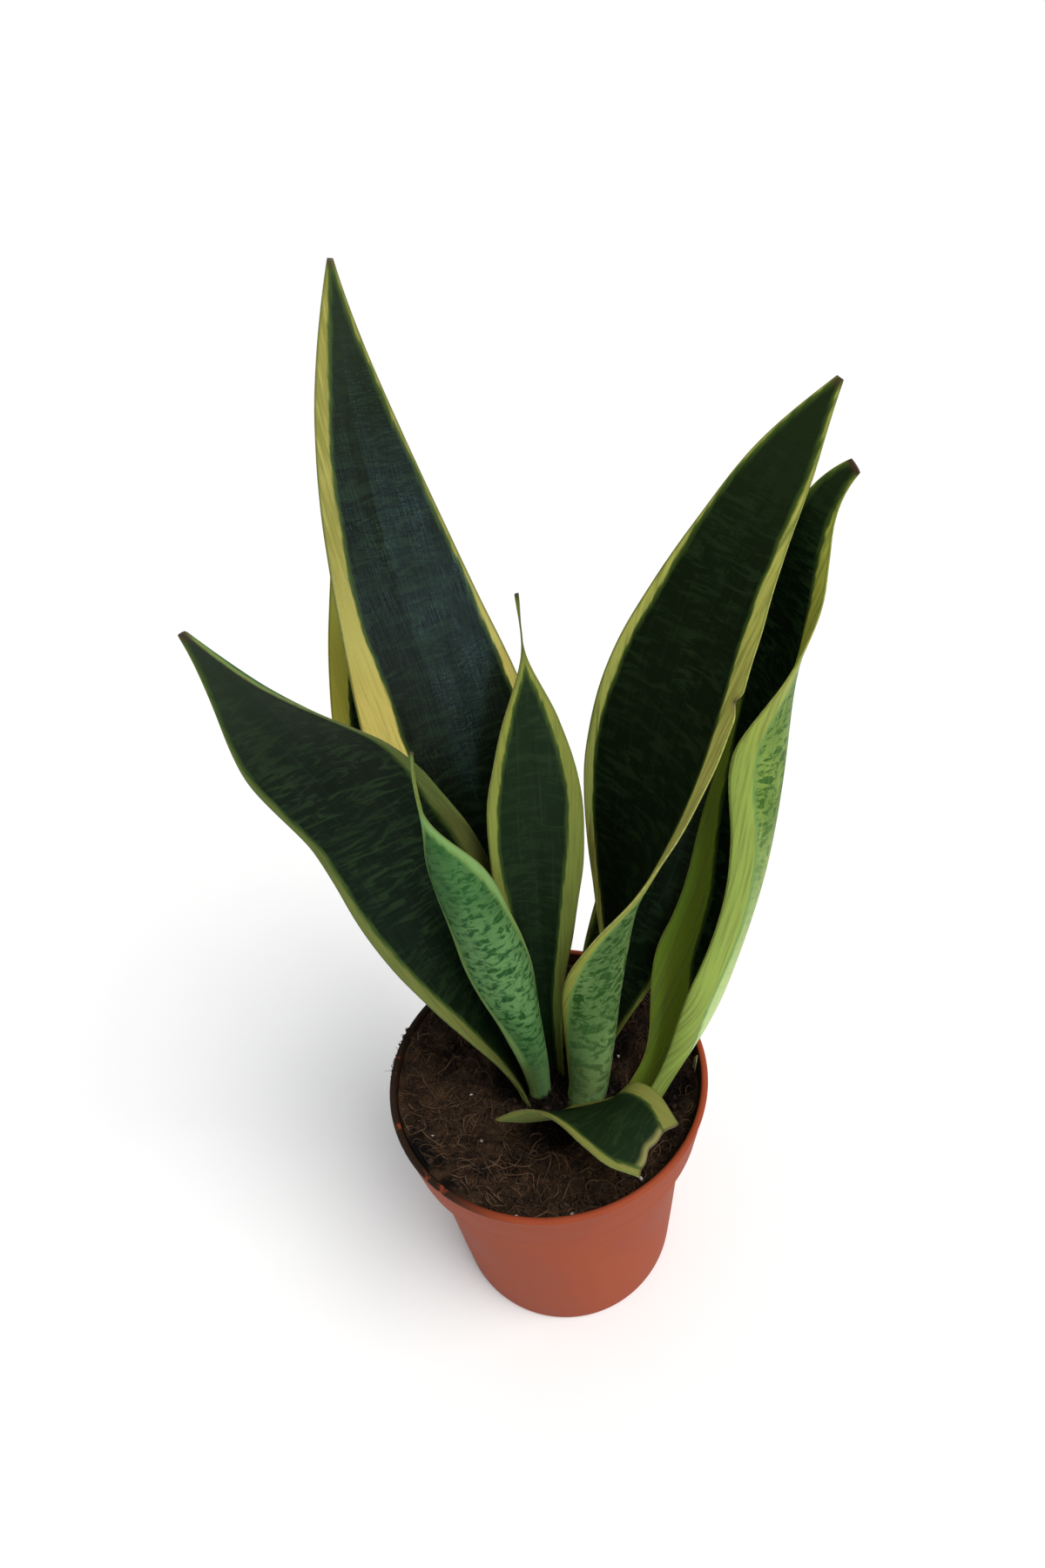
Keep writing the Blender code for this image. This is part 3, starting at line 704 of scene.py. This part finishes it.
def loosePaint(name, tone):                 # crumbs, fibres and specks
    paint, tree, shader = newPaint(name, {"Specular IOR Level": 0.2})
    place = addNode(tree, "TexCoord").outputs["Object"]
    patchy = grain(tree, place, 160.0, 3.0)
    fine = grain(tree, place, 1400.0, 3.0)
    colour = tint(tree, fade(tree, patchy, 0.35, 0.65), tuple(part * 0.5 for part in tone), tone)
    colour = tint(tree, fade(tree, fine, 0.5, 0.7, 0.0, 0.5), colour,
                  tuple(part * 0.4 for part in tone))
    finishPaint(tree, shader, colour, fade(tree, patchy, 0.3, 0.7, 0.7, 0.95), fine, 0.5, 0.0004)
    return paint


def makeSoil():
    edge = innerRadius(94.5) - 0.2
    rings = soil["rings"]
    profile = [(edge * ring / rings, soil["level"]) for ring in range(rings + 1)]
    heights = (88.0, collarStart, shoulderTop, 40.0, 6.0)
    profile += [(innerRadius(height) - soil["gap"], height + soil["gap"]) for height in heights]
    underside = pot["floor"] + soil["gap"]
    profile += [(innerRadius(pot["floor"]) - 3.0, underside), (0.0, underside)]
    bm = spinProfile(profile, soil["steps"])
    # nearness to the leaf feet, which the mix's paint turns into painted shade
    crown = bm.verts.layers.float.new("crown")
    for vert in bm.verts:
        vert[crown] = nearCrown(vert.co.x, vert.co.y)
        if vert.co.z > soil["level"] - 1.5:                  # only the top is lumpy
            vert.co.z = min(soilHeight(vert.co.x, vert.co.y), soil["top"])
            wider = (innerRadius(vert.co.z) - 0.2) / edge - 1.0
            vert.co.xy *= 1.0 + wider * ease(vert.co.xy.length, 44.0, edge)
    settle(addObject("pottingMix", bm, [soilPaint()]), "soil_mix", "soil")


def scatterPlace(reach=soil["spread"]):
    while True:
        x, y = dice.uniform(-reach, reach), dice.uniform(-reach, reach)
        if math.hypot(x, y) < reach:
            return x, y


def addStrand(curve, start, heading, length, thickness, tone, lift, points=7):
    strand = curve.splines.new("POLY")
    strand.points.add(points - 1)
    strand.material_index = tone
    x, y, z = start
    bend, twist = dice.uniform(-0.5, 0.5), dice.uniform(-0.4, 0.4)
    for index, point in enumerate(strand.points):
        share = index / (points - 1)
        arch = math.sin(math.pi * share) * lift
        if z is None and math.hypot(x, y) > soil["reach"]:
            x, y = [part * soil["reach"] / math.hypot(x, y) for part in (x, y)]
        rest = z if z is not None else soilHeight(x, y) + 0.15
        point.co = (x * mm, y * mm, (rest + arch) * mm, 1.0)
        point.radius = thickness * (1.0 - 0.75 * share ** 2)
        heading += bend + twist * math.sin(5.0 * share)
        x += math.cos(heading) * length / (points - 1)
        y += math.sin(heading) * length / (points - 1)


def makeFibres():
    curve = bpy.data.curves.new("coirFibres", "CURVE")
    curve.dimensions = "3D"
    curve.bevel_depth = mm
    curve.bevel_resolution = 0
    for index, tone in enumerate(soil["fibreTones"]):
        curve.materials.append(loosePaint("coirFibre%d" % index, tone))
    for _ in range(soil["fibres"]):
        x, y = scatterPlace()
        # fibres near the leaf feet take the darkest tone, as painted shade under the crown
        addStrand(curve, (x, y, None), dice.uniform(0, math.tau), dice.uniform(3.0, 13.0),
                  0.06 + 0.2 * dice.random() ** 2.5,
                  2 if nearCrown(x, y) > 0.4 else dice.choice((0, 0, 1, 1, 2)),
                  dice.uniform(0.2, 2.6))
    for _ in range(soil["lipFibres"]):      # loose ends caught on the left of the lip
        angle = math.radians(dice.uniform(150, 180))
        reach = dice.uniform(57.0, 59.5)
        addStrand(curve, (reach * math.cos(angle), reach * math.sin(angle), pot["height"]),
                  angle + dice.uniform(-1.4, 1.4), dice.uniform(1.5, 3.5), dice.uniform(0.08, 0.18),
                  dice.choice((1, 2)), dice.uniform(0.2, 1.5))
    piece = bpy.data.objects.new("coirFibres", curve)
    bpy.context.scene.collection.objects.link(piece)
    settle(bakeMesh(piece), "soil_mix")


def addLump(bm, place, size, rounds=1):
    turn = Matrix.Rotation(dice.uniform(0, math.tau), 4,
                           Vector((dice.gauss(0, 1), dice.gauss(0, 1), 1.0)))
    shape = Matrix.Diagonal((size, size * dice.uniform(0.5, 1.0),
                             size * dice.uniform(0.4, 0.9), 1.0))
    made = bmesh.ops.create_icosphere(bm, subdivisions=rounds, radius=1.0,
                                      matrix=Matrix.Translation(place) @ turn @ shape)
    for vert in made["verts"]:
        shift = Vector((dice.uniform(-1, 1), dice.uniform(-1, 1), dice.uniform(-1, 1)))
        vert.co += shift * size * 0.22


def makeCrumbs():
    bm = bmesh.new()
    for _ in range(soil["crumbs"]):
        x, y = scatterPlace()
        size = 0.4 + 1.5 * dice.random() ** 3
        addLump(bm, (x, y, soilHeight(x, y) + size * 0.2), size)
    for _ in range(soil["lipCrumbs"]):      # crumbs resting on the left of the lip
        angle = math.radians(dice.uniform(152, 178))
        reach = dice.uniform(57.6, 59.8)
        size = dice.uniform(0.3, 0.9)
        rest = pot["height"] + size * 0.2
        addLump(bm, (reach * math.cos(angle), reach * math.sin(angle), rest), size)
    crumb = loosePaint("peatCrumb", (0.032, 0.016, 0.009))
    settle(addObject("peatCrumbs", bm, [crumb]), "soil_mix")

    bm = bmesh.new()
    spots = soil["perlite"] + [scatterPlace(54.0) for _ in range(soil["moreSpecks"])]
    for x, y in spots:
        size = dice.uniform(0.5, 0.9)
        addLump(bm, (x, y, soilHeight(x, y) + size * 0.5), size, 2)
    settle(addObject("whiteSpecks", bm, [loosePaint("perlite", (0.62, 0.58, 0.52))]), "soil_mix")


makeSoil()
makeFibres()
makeCrumbs()
print("potting mix, fibres and crumbs are laid")


# A dry strip of old sheath by the rim, and the rhizome buried under the mix.
sheath = {"foot": (55.8, -5.0, 92.5), "height": 11.3, "width": 3.6, "lean": 3.0, "thickness": 0.35,
          "tone": (0.42, 0.36, 0.22), "vein": (0.24, 0.18, 0.09)}


def strawPaint(name, tone, vein, scale):
    paint, tree, shader = newPaint(name, {"Specular IOR Level": 0.25})
    place = addNode(tree, "TexCoord").outputs["Object"]
    veins = grain(tree, stretch(tree, place, scale), 1.0, 3.0, 0.6)
    blotch = grain(tree, place, 220.0, 3.0)
    colour = tint(tree, fade(tree, veins, 0.42, 0.62), tone, vein)
    colour = tint(tree, fade(tree, blotch, 0.55, 0.75, 0.0, 0.6), colour,
                  tuple(part * 0.4 for part in vein))
    finishPaint(tree, shader, colour, fade(tree, blotch, 0.3, 0.7, 0.65, 0.85), veins, 0.5, 0.0005)
    return paint


def makeSheath():
    bm = bmesh.new()
    bmesh.ops.create_grid(bm, x_segments=8, y_segments=24, size=0.5)
    for vert in bm.verts:
        across, rise = vert.co.x * 2, vert.co.y + 0.5
        narrow = 1 - 0.5 * rise - 0.35 * ease(rise, 0.85, 1.0)
        frayed = 0.25 * noise.noise(Vector((across * 2, rise * 6, 4.0)))
        bow = 0.35 * sheath["width"] * across ** 2 / 1.6
        lean = rise * rise * sheath["lean"] / 4
        vert.co = Vector((sheath["foot"][0] - bow * narrow + lean + frayed,
                          sheath["foot"][1] + across * sheath["width"] / 2 * narrow,
                          sheath["foot"][2] + rise * sheath["height"]))
    paint = strawPaint("dryStraw", sheath["tone"], sheath["vein"], (700.0, 2600.0, 90.0))
    piece = addObject("drySheath", bm, [paint])
    thicken(piece, sheath["thickness"])
    settle(piece, "dry_scale", "dry_scale")


makeSheath()
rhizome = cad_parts["rhizome"]
rhizome.data.materials.clear()
rhizome.data.materials.append(strawPaint("rhizomeSkin", (0.45, 0.32, 0.14), (0.25, 0.15, 0.06),
                                         (90.0, 600.0, 600.0)))
print("dry sheath and rhizome are finished")
